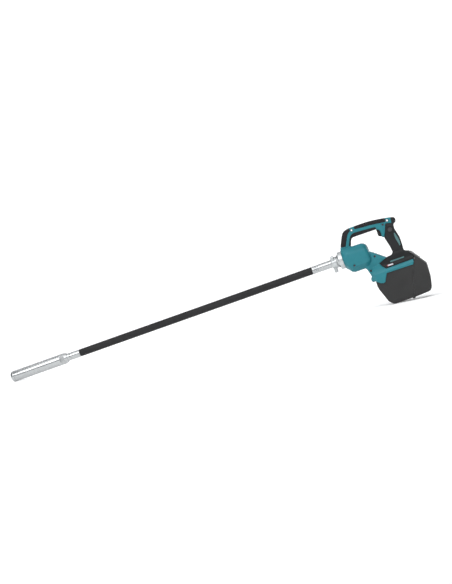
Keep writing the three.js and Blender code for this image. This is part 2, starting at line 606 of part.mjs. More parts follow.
  // Each inlay is a plug of the grip's own skin, in a pocket a little larger than itself.
  const outlines = { grip_inlay: GRIP_INLAY, side_strip: SIDE_STRIP };
  let parted = grip;
  for (const corners of [GRIP_INLAY, SIDE_STRIP, NAME_PLATE]) {
    parted = cut(parted, pocket(corners, -70, -INLAY_FROM_Y));
    if (corners !== NAME_PLATE) parted = cut(parted, pocket(corners, INLAY_FROM_Y, 70));
  }
  add("grip_left", sideOf(parted, -1), BLACK_PLASTIC);
  add("grip_right", sideOf(parted, 1), BLACK_PLASTIC);
  const plug = (corners, side) => {
    const [near, far] = side < 0 ? [-70, -INLAY_FROM_Y - GAP] : [INLAY_FROM_Y + GAP, 70];
    return largest(grip.intersect(slab(corners, near, far)));
  };
  for (const [name, corners] of Object.entries(outlines)) {
    const material = name === "grip_inlay" ? TEAL : PALE_PLASTIC;
    add(`${name}_left`, plug(corners, -1), material);
    add(`${name}_right`, plug(corners, 1), material);
  }
  add("name_plate", plug(NAME_PLATE, -1), PALE_PLASTIC);
}

// A pocket across the tool with the same outline as an inlay, a gap larger all round.
function pocket(corners, y0, y1) {
  const rim = kerf([...corners, corners[0]], 2 * GAP).intersect(block(0, 400, y0, y1, -300, 200));
  return join(slab(corners, y0, y1), rim);
}

// The largest piece of a solid on one side of the tool's middle plane.
function sideOf(whole, side) {
  const [near, far] = side < 0 ? [-120, -GAP / 2] : [GAP / 2, 120];
  return largest(whole.intersect(block(-50, 400, near, far, -300, 200)));
}

function handleFittings() {
  SCREWS.forEach(({ at, face }, i) => {
    const head = pinAcross(at, -face + 4, -face + 7, 3.4, 16);
    const drive = pinAcross(at, -face + 3, -face + 6, 1.6, 6);
    const shank = pinAcross(at, -face + 6.5, face - 5, 1.7, 12);
    add(`housing_screw_${i + 1}`, join(cut(head, drive), shank), DARK_STEEL);
  });
  for (const [name, at] of Object.entries(EYELETS)) {
    const sleeve = pinAcross(at, -HANDLE_HALF - 0.8, HANDLE_HALF + 0.8, EYELET_R, 24);
    add(`strap_eyelet_${name}`, cut(sleeve, pinAcross(at, -30, 30, EYELET_BORE_R, 24)), STEEL);
  }
  const trigger = slab(
    [[147.3, 57.2], [148.2, 51, 3], [147.6, 42, 3], [148.4, 35.5, 2], [151, 33.2], [157.5, 30.6, 1],
      [160, 34], [163.5, 56], [161.5, 65.5, 2], [154, 65.5, 2], [152.6, 61.5]],
    -TRIGGER_HALF, TRIGGER_HALF, 1,
  );
  add("trigger", cut(trigger, pinAcross(TRIGGER_PIVOT, -20, 20, 1.8, 12)), BLACK_PLASTIC);
  add("trigger_pin", pinAcross(TRIGGER_PIVOT, -TRIGGER_HALF - 4, TRIGGER_HALF + 4, 1.5, 12), STEEL);
  add("switch_module", slab(
    [[184, 34.6], [200, 34.6], [201, 20], [203.5, 0], [203.5, -8], [184, -8], [180, 18]], -10, 10, 1,
  ), BLACK_PLASTIC);
  const button = pinAcross(LOCK_BUTTON, -GRIP_HALF - 2.5, -GRIP_HALF + 7.5, LOCK_BUTTON_R, 24);
  add("lock_button", button, BLACK_RUBBER);
  add("controller", block(151, 225, -22, 22, -70, -63), SEAL_RUBBER);
}

// ---------------------------------------------------------------- battery case
// Everything on the door's side of its joint line, from a distance past that line.
function behindSeam(offset, width = 200) {
  const along = new THREE.Vector2(SEAM_TOP[0] - DOOR_HINGE[0], SEAM_TOP[1] - DOOR_HINGE[1]);
  const space = new THREE.BoxGeometry(width, 200, 500);
  space.translate(offset + width / 2, 0, 0);
  space.rotateY(Math.PI / 2 - along.angle());
  space.translate(DOOR_HINGE[0], 0, DOOR_HINGE[1]);
  return solid(space);
}

// The latch lies along the chamfer of the door, over the edge of the shoulder. Its side view is drawn with
// a along the chamfer, down from the shoulder's edge, and b out of it. A margin makes the bed it lies in.
function latchShape(margin, half) {
  const [top, low] = CHAMFER;
  const along = new THREE.Vector2(low[0] - top[0], low[1] - top[1]).normalize();
  const place = ([a, b]) => [top[0] + along.x * a - along.y * b, top[1] + along.y * a + along.x * b];
  const outer = margin ? 6 : 2;
  const plate = [[-12 - margin, -2 - margin], [24, -2 - margin], [24, outer], [-12 - margin, outer]];
  return join(
    slab(plate.map(place), -half, half),
    pinAcross(LATCH_PIVOT, -half, half, LATCH_KNUCKLE_R + margin, 16),
  );
}

function batteryCase() {
  const tapered = (corners, halfWidth, bottom, bevel) =>
    slab(unrounded(corners), -halfWidth, halfWidth, bevel)
      .intersect(slab(corners, -80, 80))
      .intersect(prism(section(halfWidth, -50, bottom), 60, 300));
  const envelope = tapered(CASE, CASE_HALF, CASE_BOTTOM, 6);
  const room = tapered(CASE_INSIDE, CASE_HALF - CASE_WALL, CASE_BOTTOM + CASE_WALL, 4);
  const knuckle = (y0, y1, r) => pinAcross(DOOR_HINGE, y0, y1, r, 20);
  const split = KNUCKLE_SPLIT_Y;
  const HINGE_X = DOOR_HINGE[0];
  const half = CASE_HALF - 4;
  const ears = join(knuckle(-half, -split, KNUCKLE_R), knuckle(split, half, KNUCKLE_R));
  const pinBore = knuckle(-half + 3, half + 1, HINGE_PIN_R + GAP);

  const front = cut(envelope, room, behindSeam(-SEAL / 2 - GAP), knuckle(-90, 90, KNUCKLE_R + GAP));
  const fixedWeb = join(
    block(HINGE_X - 8, HINGE_X, -half, -split, CASE_BOTTOM + 0.1, CASE_BOTTOM + CASE_WALL),
    block(HINGE_X - 8, HINGE_X, split, half, CASE_BOTTOM + 0.1, CASE_BOTTOM + CASE_WALL),
  );
  add("case_shell", largest(cut(join(front, ears, fixedWeb), pinBore)), CASE_GREY);

  const latchBed = latchShape(0.4, LATCH_HALF + 0.5);
  const latchBore = pinAcross(LATCH_PIVOT, -LATCH_HALF - 4, LATCH_HALF + 4, 1.3, 12);
  const bossCorners = [[240, -63], [245, -69], [265.5, -98.5], [260, -104], [241, -82]];
  const boss = slab(bossCorners, -LATCH_HALF - 6, LATCH_HALF + 6).intersect(envelope);
  const rear = cut(envelope.intersect(behindSeam(SEAL / 2 + GAP)), room, knuckle(-90, 90, KNUCKLE_R + GAP));
  const doorWeb = block(
    HINGE_X, HINGE_X + 8, -split + GAP, split - GAP, CASE_BOTTOM + 0.2, CASE_BOTTOM + CASE_WALL);
  const doorKnuckle = knuckle(-split + GAP, split - GAP, KNUCKLE_R);
  add("case_door", largest(cut(
    join(rear, boss.intersect(behindSeam(SEAL / 2 + GAP)), doorWeb, doorKnuckle),
    pinBore, latchBed, latchBore,
  )), CASE_GREY);
  add("hinge_pin", knuckle(-half + 3.3, half - 0.5, HINGE_PIN_R), STEEL);

  const gasketRoom = slab(CASE_INSIDE, -80, 80)
    .intersect(prism(section(CASE_HALF - 3, -50, CASE_BOTTOM + 2.5), 60, 300));
  const gasket = cut(
    envelope.intersect(prism(section(CASE_HALF - 0.3, -80, CASE_BOTTOM + 0.5), 60, 300)),
    gasketRoom, behindSeam(SEAL / 2, 200), block(0, 400, -90, 90, -230, -185),
  ).intersect(behindSeam(-SEAL / 2));
  add("door_seal", largest(gasket), CASE_GREY);

  add("door_latch", cut(latchShape(0, LATCH_HALF), latchBore), LATCH_GREY);
  add("latch_pin", pinAcross(LATCH_PIVOT, -LATCH_HALF - 3.5, LATCH_HALF + 3.5, 1, 12), STEEL);

  add("battery_rail", join(
    block(112, 206, -24, 24, -84, -79.4),
    block(112, 206, -16, 16, -92, -83),
    block(112, 206, -22, 22, -94, -91),
  ), BLACK_PLASTIC);
  const slot = join(
    block(100, 206.4, -16.4, 16.4, -92, -80),
    block(100, 206.4, -22.4, 22.4, -94.4, -90.6),
  );
  add("battery_pack", cut(
    slab(
      [[104, -86], [218, -86], [224, -120, 6], [206, -178, 8], [124, -178, 8], [103, -128, 6]], -40, 40, 2,
    ),
    slot, block(100, 206.4, -24.4, 24.4, -90.2, -80), block(209.6, 216.4, -12.4, 12.4, -91, -80),
  ), BLACK_PLASTIC);
  add("battery_release", block(210, 216, -12, 12, -88.5, -82.6), BUTTON_RED);
}

vibratingHead();
flexibleShaft();
frontFlange();
motor();
housing();
handleFittings();
batteryCase();

// ---------------------------------------------------------------- laying it down
// The tool rests on the edge of the head's tip and on the front lower edge of the case.
const HEAD_CONTACT = [HEAD_TIP_X + 9, -HEAD_R];
const CASE_CONTACT = [129, CASE_BOTTOM];
const REST_TILT = Math.atan2(HEAD_CONTACT[1] - CASE_CONTACT[1], CASE_CONTACT[0] - HEAD_CONTACT[0]);
tool.name = "tool";
tool.rotation.y = -REST_TILT;
tool.updateMatrixWorld(true);
const bounds = new THREE.Box3().setFromObject(tool, true);
tool.position.set(-(bounds.min.x + bounds.max.x) / 2, -(bounds.min.y + bounds.max.y) / 2, -bounds.min.z);
const part = new THREE.Group();
part.name = "concrete_vibrator";
part.add(tool);
part.updateMatrixWorld(true);

export default part;
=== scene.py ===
"""The looks of a cordless concrete vibrator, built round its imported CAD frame.

Shapes are given in the tool's own frame, in millimetres: X along the motor and shaft axis with X = 0 in the
front flange and the head at negative X, Y across the tool, Z up towards the handle. TOOL maps that frame
into the row frame, in metres, from the axis of the motor's joint.
"""
import json
import math

import bmesh
import bpy
from mathutils import Matrix, Vector


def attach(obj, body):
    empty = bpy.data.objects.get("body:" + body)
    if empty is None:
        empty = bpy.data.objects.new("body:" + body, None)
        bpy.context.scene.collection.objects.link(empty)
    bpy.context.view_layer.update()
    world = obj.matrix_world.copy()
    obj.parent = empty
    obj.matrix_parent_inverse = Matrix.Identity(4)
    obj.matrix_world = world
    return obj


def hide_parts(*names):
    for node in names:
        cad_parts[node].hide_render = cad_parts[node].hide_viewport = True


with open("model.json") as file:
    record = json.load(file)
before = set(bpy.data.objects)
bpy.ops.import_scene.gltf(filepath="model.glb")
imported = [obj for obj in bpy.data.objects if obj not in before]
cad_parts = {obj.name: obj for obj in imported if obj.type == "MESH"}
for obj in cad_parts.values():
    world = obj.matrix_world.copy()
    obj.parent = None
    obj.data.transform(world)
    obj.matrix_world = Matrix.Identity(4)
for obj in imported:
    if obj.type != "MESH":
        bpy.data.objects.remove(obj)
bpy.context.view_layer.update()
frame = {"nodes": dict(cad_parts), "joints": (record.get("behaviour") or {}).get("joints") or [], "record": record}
NODES = frame["nodes"]
JOINTS = {joint["name"]: joint for joint in frame["joints"]}
MATERIAL_SLOT = {part["node"]: part["material_slot"] for part in frame["record"]["subparts"]}

# ---------------------------------------------------------------- tool frame
MM = 0.001
MOTOR_JOINT_X = 50 * MM  # where the motor's joint stands on the axis
AXIS = Vector(JOINTS["motor_spin"]["axis"]).normalized()
ACROSS = Vector((0, 1, 0))
UP = AXIS.cross(ACROSS)
ORIGIN = Vector(JOINTS["motor_spin"]["pos_m"]) - AXIS * MOTOR_JOINT_X
TOOL = Matrix.Translation(ORIGIN) @ Matrix((AXIS, ACROSS, UP)).transposed().to_4x4() @ Matrix.Scale(MM, 4)


def place(x, y, z):
    """A point of the tool frame, in the row frame."""
    return TOOL @ Vector((x, y, z))


# ---------------------------------------------------------------- sizes, mm
HEAD_R = 19
HEAD_TIP_X = -1220.5
HEAD_CAP_X = -1206
HEAD_REAR_X = -1005
HEAD_FLAT_Y = 16.2
NECK_R = 13
HOSE_R = 12.75
HOSE_BORE_R = 8.6
HOSE_FRONT_X = -958
HOSE_REAR_X = -100.5
FERRULE_R = 13.4
NUT_FRONT_X = -31
NUT_REAR_X = -10.5
NUT_R = 19.5
NUT_LUG_R = 34
NUT_LUGS = 3
NUT_TURN = math.radians(-10)
FLANGE_FRONT_X = -4
FLANGE_REAR_X = 10.2
FLANGE_R = 30
FLANGE_BOLTS = 4
FLANGE_BOLT_CIRCLE_R = 24.5
PLATE_RED_TO_X, PLATE_Z = 147.5, -68
TURNED_SIDES = 96

# ---------------------------------------------------------------- camera
CAMERA = {
    "azimuth": 9.0,
    "elevation": 1.0,
    "roll": 12.11,
    "distance": 5.0,
    "lens": 90.27,
    "target": (-403.8, 0, 29.8),
}


def make_camera():
    data = bpy.data.cameras.new("camera")
    data.sensor_width = 36
    data.lens = CAMERA["lens"]
    data.clip_end = 50
    camera = bpy.data.objects.new("camera", data)
    bpy.context.scene.collection.objects.link(camera)
    a, e = math.radians(CAMERA["azimuth"]), math.radians(CAMERA["elevation"])
    back = Vector((math.sin(a) * math.cos(e), -math.cos(a) * math.cos(e), math.sin(e)))
    camera.rotation_mode = "QUATERNION"
    turn = back.to_track_quat("Z", "Y")
    roll = Matrix.Rotation(-math.radians(CAMERA["roll"]), 4, "Z").to_quaternion()
    camera.rotation_quaternion = turn @ roll
    camera.location = place(*CAMERA["target"]) + back * CAMERA["distance"]
    bpy.context.scene.camera = camera


# ---------------------------------------------------------------- materials
def srgb(red, green, blue):
    """An 8-bit colour as the linear values that a shader takes."""
    def linear(v):
        v /= 255
        return v / 12.92 if v <= 0.04045 else ((v + 0.055) / 1.055) ** 2.4
    return (linear(red), linear(green), linear(blue), 1)


class Shader:
    """A Principled material with its texture nodes, all in the object's own coordinates."""

    def __init__(self, name, colour, roughness, metallic=0.0):
        self.material = bpy.data.materials.new(name)
        self.material.use_nodes = True
        self.tree = self.material.node_tree
        self.surface = self.tree.nodes["Principled BSDF"]
        self.surface.inputs["Base Color"].default_value = colour
        self.surface.inputs["Roughness"].default_value = roughness
        self.surface.inputs["Metallic"].default_value = metallic
        self.colour = colour
        self.coordinates = self.node("ShaderNodeTexCoord").outputs["Object"]
        self.height = None

    def node(self, kind, **settings):
        made = self.tree.nodes.new(kind)
        for name, value in settings.items():
            setattr(made, name, value)
        return made

    def link(self, start, end):
        self.tree.links.new(start, end)

    def noise(self, scale, detail=3.0, roughness=0.55, stretch=None):
        texture = self.node("ShaderNodeTexNoise")
        texture.inputs["Scale"].default_value = scale
        texture.inputs["Detail"].default_value = detail
        texture.inputs["Roughness"].default_value = roughness
        self.link(self.stretched(stretch), texture.inputs["Vector"])
        return texture.outputs["Fac"]

    def cells(self, scale, feature="F1"):
        texture = self.node("ShaderNodeTexVoronoi", feature=feature)
        texture.inputs["Scale"].default_value = scale
        self.link(self.coordinates, texture.inputs["Vector"])
        return texture.outputs["Distance"]

    def stretched(self, stretch):
        if stretch is None:
            return self.coordinates
        mapping = self.node("ShaderNodeMapping")
        mapping.inputs["Rotation"].default_value = (0, math.asin(AXIS.z), 0)
        mapping.inputs["Scale"].default_value = stretch
        self.link(self.coordinates, mapping.inputs["Vector"])
        return mapping.outputs["Vector"]

    def span(self, value, low, high, to_low, to_high):
        """value, taken from low..high to to_low..to_high and held there."""
        ranged = self.node("ShaderNodeMapRange")
        limits = {"From Min": low, "From Max": high, "To Min": to_low, "To Max": to_high}
        for name, number in limits.items():
            ranged.inputs[name].default_value = number
        self.link(value, ranged.inputs["Value"])
        return ranged.outputs["Result"]

    def tint(self, factor, colour, blend="MIX"):
        """Mixes a second colour over the present one."""
        mix = self.node("ShaderNodeMix", data_type="RGBA", blend_type=blend)
        socket = self.surface.inputs["Base Color"]
        if socket.is_linked:
            self.link(socket.links[0].from_socket, mix.inputs["A"])
        else:
            mix.inputs["A"].default_value = socket.default_value
        mix.inputs["B"].default_value = colour
        self.link(factor, mix.inputs["Factor"])
        self.link(mix.outputs["Result"], socket)

    def before_x(self, x, soft=0.2):
        """One on the front side of a tool x, and zero behind it."""
        split = self.node("ShaderNodeSeparateXYZ")
        self.link(self.coordinates, split.inputs["Vector"])
        at = place(x, 0, PLATE_Z).x
        return self.span(split.outputs["X"], at - soft * MM, at + soft * MM, 1.0, 0.0)

    def roughen(self, factor, low, high):
        self.link(self.span(factor, 0.3, 0.7, low, high), self.surface.inputs["Roughness"])

    def bump(self, height, depth_mm, strength=1.0):
        bump = self.node("ShaderNodeBump")
        bump.inputs["Distance"].default_value = depth_mm * MM
        bump.inputs["Strength"].default_value = strength
        self.link(height, bump.inputs["Height"])
        if self.height is not None:
            self.link(self.height, bump.inputs["Normal"])
        self.link(bump.outputs["Normal"], self.surface.inputs["Normal"])
        self.height = bump.outputs["Normal"]

    def painted_edge_highlight(self, colour, amount):
        """Lightens convex edges towards a lighter colour: a painted highlight along them."""
        pointiness = self.node("ShaderNodeNewGeometry").outputs["Pointiness"]
        self.tint(self.span(pointiness, 0.52, 0.6, 0.0, amount), colour)


def teal_plastic():
    s = Shader("teal_plastic", srgb(34, 109, 119), 0.42)
    s.tint(s.span(s.noise(14, 5), 0.35, 0.7, 0.0, 0.5), srgb(42, 119, 128))
    s.tint(s.span(s.noise(70, 6), 0.55, 0.8, 0.0, 0.18), srgb(14, 84, 94))
    # painted highlight: convex edges lightened towards a lit teal
    s.painted_edge_highlight(srgb(92, 178, 188), 0.45)
    s.roughen(s.noise(35, 4), 0.34, 0.5)
    s.bump(s.noise(1500, 2), 0.05, 0.5)
    s.surface.inputs["Specular IOR Level"].default_value = 0.25
    return s.material


def black_rubber():
    s = Shader("black_rubber", srgb(30, 29, 31), 0.74)
    s.tint(s.span(s.noise(22, 5), 0.4, 0.7, 0.0, 0.6), srgb(38, 37, 39))
    # painted highlight: convex edges lightened towards a lighter grey
    s.painted_edge_highlight(srgb(84, 83, 85), 0.5)
    s.roughen(s.noise(60, 4), 0.62, 0.84)
    s.bump(s.cells(620), 0.12, 0.6)
    s.bump(s.noise(2400, 2), 0.04, 0.5)
    s.surface.inputs["Specular IOR Level"].default_value = 0.2
    return s.material


def black_plastic():
    s = Shader("black_plastic", srgb(28, 29, 30), 0.55)
    s.tint(s.span(s.noise(18, 5), 0.4, 0.7, 0.0, 0.5), srgb(38, 39, 40))
    # painted highlight: convex edges lightened towards a lighter grey
    s.painted_edge_highlight(srgb(80, 82, 84), 0.4)
    s.roughen(s.noise(45, 4), 0.45, 0.65)
    s.bump(s.noise(1300, 2), 0.06, 0.6)
    s.surface.inputs["Specular IOR Level"].default_value = 0.2
    return s.material


def case_plastic():
    s = Shader("case_plastic", srgb(46, 46, 46), 0.62)
    s.tint(s.span(s.noise(9, 5), 0.4, 0.7, 0.0, 0.5), srgb(54, 54, 54))
    # painted highlight: convex edges lightened towards a lighter grey
    s.painted_edge_highlight(srgb(96, 96, 97), 0.4)
    s.roughen(s.noise(30, 5), 0.52, 0.7)
    s.bump(s.cells(900), 0.1, 0.5)
    s.bump(s.noise(2200, 2), 0.05, 0.5)
    s.surface.inputs["Specular IOR Level"].default_value = 0.2
    return s.material


def latch_plastic():
    s = Shader("latch_plastic", srgb(92, 92, 93), 0.5)
    s.tint(s.span(s.noise(60, 4), 0.4, 0.7, 0.0, 0.5), srgb(104, 104, 105))
    # painted highlight: convex edges lightened towards a lighter grey
    s.painted_edge_highlight(srgb(132, 132, 133), 0.4)
    s.roughen(s.noise(80, 4), 0.42, 0.6)
    s.bump(s.noise(1500, 2), 0.05, 0.5)
    return s.material


def hose_rubber():
    s = Shader("hose_rubber", srgb(32, 32, 33), 0.6)
    s.tint(s.span(s.noise(6, 4, stretch=(1, 14, 14)), 0.4, 0.7, 0.0, 0.6), srgb(42, 42, 43))
    s.tint(s.span(s.noise(90, 6), 0.6, 0.8, 0.0, 0.25), srgb(66, 65, 64))
    s.roughen(s.noise(40, 4), 0.5, 0.7)
    s.bump(s.noise(40, 3, stretch=(1, 30, 30)), 0.15, 0.5)
    s.bump(s.noise(1100, 2), 0.06, 0.5)
    s.surface.inputs["Specular IOR Level"].default_value = 0.2
    return s.material


def polished_steel():
    s = Shader("polished_steel", srgb(180, 182, 183), 0.2, 1.0)
    s.tint(s.span(s.noise(30, 5, stretch=(1, 3, 3)), 0.4, 0.7, 0.0, 0.4), srgb(166, 168, 170))
    s.roughen(s.noise(900, 3, stretch=(1, 0.02, 0.02)), 0.14, 0.34)
    s.bump(s.noise(1600, 2, stretch=(1, 0.02, 0.02)), 0.012, 0.6)
    s.surface.inputs["Anisotropic"].default_value = 0.4
    return s.material


def dark_steel():
    # Dark steel, made darker still as painted shade for the recesses the screws sit in.
    s = Shader("dark_steel", srgb(84, 85, 88), 0.4, 1.0)
    s.tint(s.span(s.noise(120, 4), 0.4, 0.7, 0.0, 0.6), srgb(62, 62, 66))
    s.roughen(s.noise(200, 4), 0.3, 0.5)
    s.bump(s.noise(1800, 2), 0.02, 0.5)
    return s.material


def cast_aluminium():
    s = Shader("cast_aluminium", srgb(190, 193, 194), 0.34, 1.0)
    s.tint(s.span(s.noise(60, 5), 0.4, 0.7, 0.0, 0.5), srgb(170, 174, 176))
    # painted highlight: convex edges lightened towards near white
    s.painted_edge_highlight(srgb(230, 232, 234), 0.5)
    s.roughen(s.noise(160, 5), 0.26, 0.46)
    s.bump(s.noise(1000, 4), 0.05, 0.6)
    return s.material


def copper():
    s = Shader("copper", srgb(168, 102, 46), 0.4, 1.0)
    s.tint(s.span(s.noise(200, 3), 0.4, 0.7, 0.0, 0.6), srgb(120, 62, 26))
    s.bump(s.noise(700, 2, stretch=(1, 20, 20)), 0.2, 0.8)
    return s.material


def seal_rubber():
    s = Shader("seal_rubber", srgb(26, 26, 27), 0.8)
    s.tint(s.span(s.noise(120, 4), 0.4, 0.7, 0.0, 0.5), srgb(40, 40, 40))
    s.bump(s.noise(1200, 2), 0.05, 0.5)
    return s.material


def pale_plastic():
    s = Shader("pale_plastic", srgb(190, 186, 192), 0.4)
    s.tint(s.span(s.noise(80, 4), 0.4, 0.7, 0.0, 0.5), srgb(206, 203, 208))
    s.tint(s.before_x(PLATE_RED_TO_X), srgb(150, 42, 46))
    s.roughen(s.noise(100, 3), 0.32, 0.48)
    s.bump(s.noise(1500, 2), 0.03, 0.4)
    return s.material


def dull_teal_plastic():
    s = Shader("dull_teal_plastic", srgb(70, 108, 110), 0.5)
    s.tint(s.span(s.noise(80, 4), 0.4, 0.7, 0.0, 0.5), srgb(80, 118, 120))
    s.roughen(s.noise(100, 3), 0.4, 0.6)
    s.bump(s.noise(1500, 2), 0.03, 0.4)
    return s.material


def red_plastic():
    s = Shader("red_plastic", srgb(172, 28, 32), 0.4)
    s.tint(s.span(s.noise(90, 4), 0.4, 0.7, 0.0, 0.5), srgb(140, 18, 22))
    s.bump(s.noise(1500, 2), 0.04, 0.4)
    return s.material


MATERIALS = {
    "teal_housing": teal_plastic(),
    "black_rubber": black_rubber(),
    "black_plastic": black_plastic(),
    "case_plastic": case_plastic(),
    "latch_grey": latch_plastic(),
    "hose_rubber": hose_rubber(),
    "polished_steel": polished_steel(),
    "dark_steel": dark_steel(),
    "aluminium": cast_aluminium(),
    "copper": copper(),
    "seal_rubber": seal_rubber(),
    "pale_plastic": pale_plastic(),
    "dull_teal": dull_teal_plastic(),
    "red_plastic": red_plastic(),
}


def repaint_cad_nodes():
    for name, obj in NODES.items():
        for material_slot in obj.material_slots:
            material_slot.material = MATERIALS[MATERIAL_SLOT[name]]


# ---------------------------------------------------------------- pieces
BODIES = frame["record"]["behaviour"]["bodies"]
BODY_OF = {node: body for body, nodes in BODIES.items() for node in nodes}


def piece(name, mesh, slot, body, sharp_above=None):
    """Puts a mesh in the scene with a slot's material, riding on a body."""
    mesh.name = name
    obj = bpy.data.objects.new(name, mesh)
    bpy.context.scene.collection.objects.link(obj)
    mesh.materials.clear()
    mesh.materials.append(MATERIALS[slot])
    mesh.shade_smooth()
    if sharp_above is not None:
        mesh.set_sharp_from_angle(angle=math.radians(sharp_above))
    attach(obj, body)
    return obj


def finished(name, mesh, node, sharp_above=None):
    """Puts a mesh in the scene as the piece that stands for a CAD node."""
    obj = piece(name, mesh, MATERIAL_SLOT[node], BODY_OF[node], sharp_above)
    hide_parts(node)
    return obj


def inner_part(name, mesh):
    """A black piece inside the housing that stands for no CAD node."""
    piece(name, mesh, "black_rubber", BODY_OF["housing_left"], 40)


def mesh_of(bm, name="piece"):
    mesh = bpy.data.meshes.new(name)
    bmesh.ops.recalc_face_normals(bm, faces=bm.faces)
    bm.to_mesh(mesh)
    bm.free()
    return mesh


def fillet(profile, steps=4):
    """A profile of (x, r) or (x, r, rounding) points with its corners rounded."""
    points = []
    for i, corner in enumerate(profile):
        here = Vector(corner[:2])
        rounding = corner[2] if len(corner) > 2 else 0
        if not rounding or i in (0, len(profile) - 1):
            points.append(here)
            continue
        before = Vector(profile[i - 1][:2]) - here
        after = Vector(profile[i + 1][:2]) - here
        start = here + before.normalized() * min(rounding, before.length * 0.49)
        end = here + after.normalized() * min(rounding, after.length * 0.49)
        for step in range(steps + 1):
            t = step / steps
            points.append(start * (1 - t) ** 2 + here * 2 * t * (1 - t) + end * t**2)
    return points


def circle(bm, x, r, sides):
    """A ring of vertices round the tool's axis at x."""
    turns = [2 * math.pi * i / sides for i in range(sides)]
    return [bm.verts.new(place(x, r * math.cos(a), r * math.sin(a))) for a in turns]


def turned(profile, sides=TURNED_SIDES):
    """A closed mesh, in the row frame, of a profile turned round the tool's axis."""
    bm = bmesh.new()
    rows = []
    for x, r in fillet(profile):
        if r < 1e-6:
            rows.append([bm.verts.new(place(x, 0, 0))])
            continue
        rows.append(circle(bm, x, r, sides))
    closed = len(rows[0]) > 1
    for row, following in zip(rows, rows[1:] + (rows[:1] if closed else [])):
        for i in range(sides):
            j = (i + 1) % sides
            a, b = (row[k % len(row)] for k in (i, j))
            c, d = (following[k % len(following)] for k in (j, i))
            unique = list(dict.fromkeys([a, b, c, d]))
            if len(unique) > 2:
                bm.faces.new(unique)
    return mesh_of(bm)


def box_mesh(x0, x1, y0, y1, z0, z1):
    bm = bmesh.new()
    bmesh.ops.create_cube(bm, size=1)
    fit = Matrix.Translation(((x0 + x1) / 2, (y0 + y1) / 2, (z0 + z1) / 2))
    fit @= Matrix.Diagonal((x1 - x0, y1 - y0, z1 - z0, 1))
    bm.transform(TOOL @ fit)
    return mesh_of(bm)


def prism_mesh(outline, y0, y1):
    """A closed mesh of a side outline of (x, z) points, from y0 to y1 across the tool."""
    bm = bmesh.new()
    near, far = ([bm.verts.new(place(x, y, z)) for x, z in outline] for y in (y0, y1))
    bm.faces.new(near)
    bm.faces.new(far)
    for i in range(len(outline)):
        j = (i + 1) % len(outline)
        bm.faces.new((near[i], near[j], far[j], far[i]))
    return mesh_of(bm)


def rod_mesh(start, end, radius, sides=48):
    """A cylinder between two points of the tool frame."""
    start, end = Vector(start), Vector(end)
    bm = bmesh.new()
    length = (end - start).length
    bmesh.ops.create_cone(
        bm, cap_ends=True, segments=sides, radius1=radius, radius2=radius, depth=length,
    )
    turn = (end - start).to_track_quat("Z", "Y").to_matrix().to_4x4()
    bm.transform(TOOL @ Matrix.Translation((start + end) / 2) @ turn)
    return mesh_of(bm)


def with_modifiers(mesh, add_modifiers):
    """The mesh after the modifiers that add_modifiers(object) gives it."""
    obj = bpy.data.objects.new("working", mesh)
    bpy.context.scene.collection.objects.link(obj)
    helpers = add_modifiers(obj) or []
    graph = bpy.context.evaluated_depsgraph_get()
    made = bpy.data.meshes.new_from_object(obj.evaluated_get(graph))
    for used in [obj, *helpers]:
        bpy.data.objects.remove(used)
    return made


def boolean(mesh, tools, operation="DIFFERENCE"):
    def add(obj):
        helpers = []
        for tool in tools:
            helper = bpy.data.objects.new("tool", tool)
            bpy.context.scene.collection.objects.link(helper)
            cutter = obj.modifiers.new("cut", "BOOLEAN")
            cutter.operation = operation
            cutter.solver = "MANIFOLD"
            cutter.object = helper
            helpers.append(helper)
        return helpers
    return with_modifiers(mesh, add)


def softened(mesh, voxel_mm, passes, keep=1.0):
    """Remeshes a closed mesh evenly and smooths it, which rounds its edges as a moulding's are."""
    def add(obj):
        remesh = obj.modifiers.new("remesh", "REMESH")
        remesh.mode = "VOXEL"
        remesh.voxel_size = voxel_mm * MM
        remesh.use_smooth_shade = True
        smooth = obj.modifiers.new("smooth", "SMOOTH")
        smooth.factor = 0.5
        smooth.iterations = passes
        if keep < 1:
            fewer = obj.modifiers.new("fewer", "DECIMATE")
            fewer.ratio = keep
    return with_modifiers(mesh, add)


def joined(*meshes):
    bm = bmesh.new()
    for mesh in meshes:
        bm.from_mesh(mesh)
    return mesh_of(bm)


def cad_mesh(node):
    """A welded copy of a CAD node's mesh, in the row frame."""
    bm = bmesh.new()
    bm.from_mesh(NODES[node].data)
    bm.transform(NODES[node].matrix_world)
    bmesh.ops.remove_doubles(bm, verts=bm.verts, dist=2e-6)
    return mesh_of(bm)


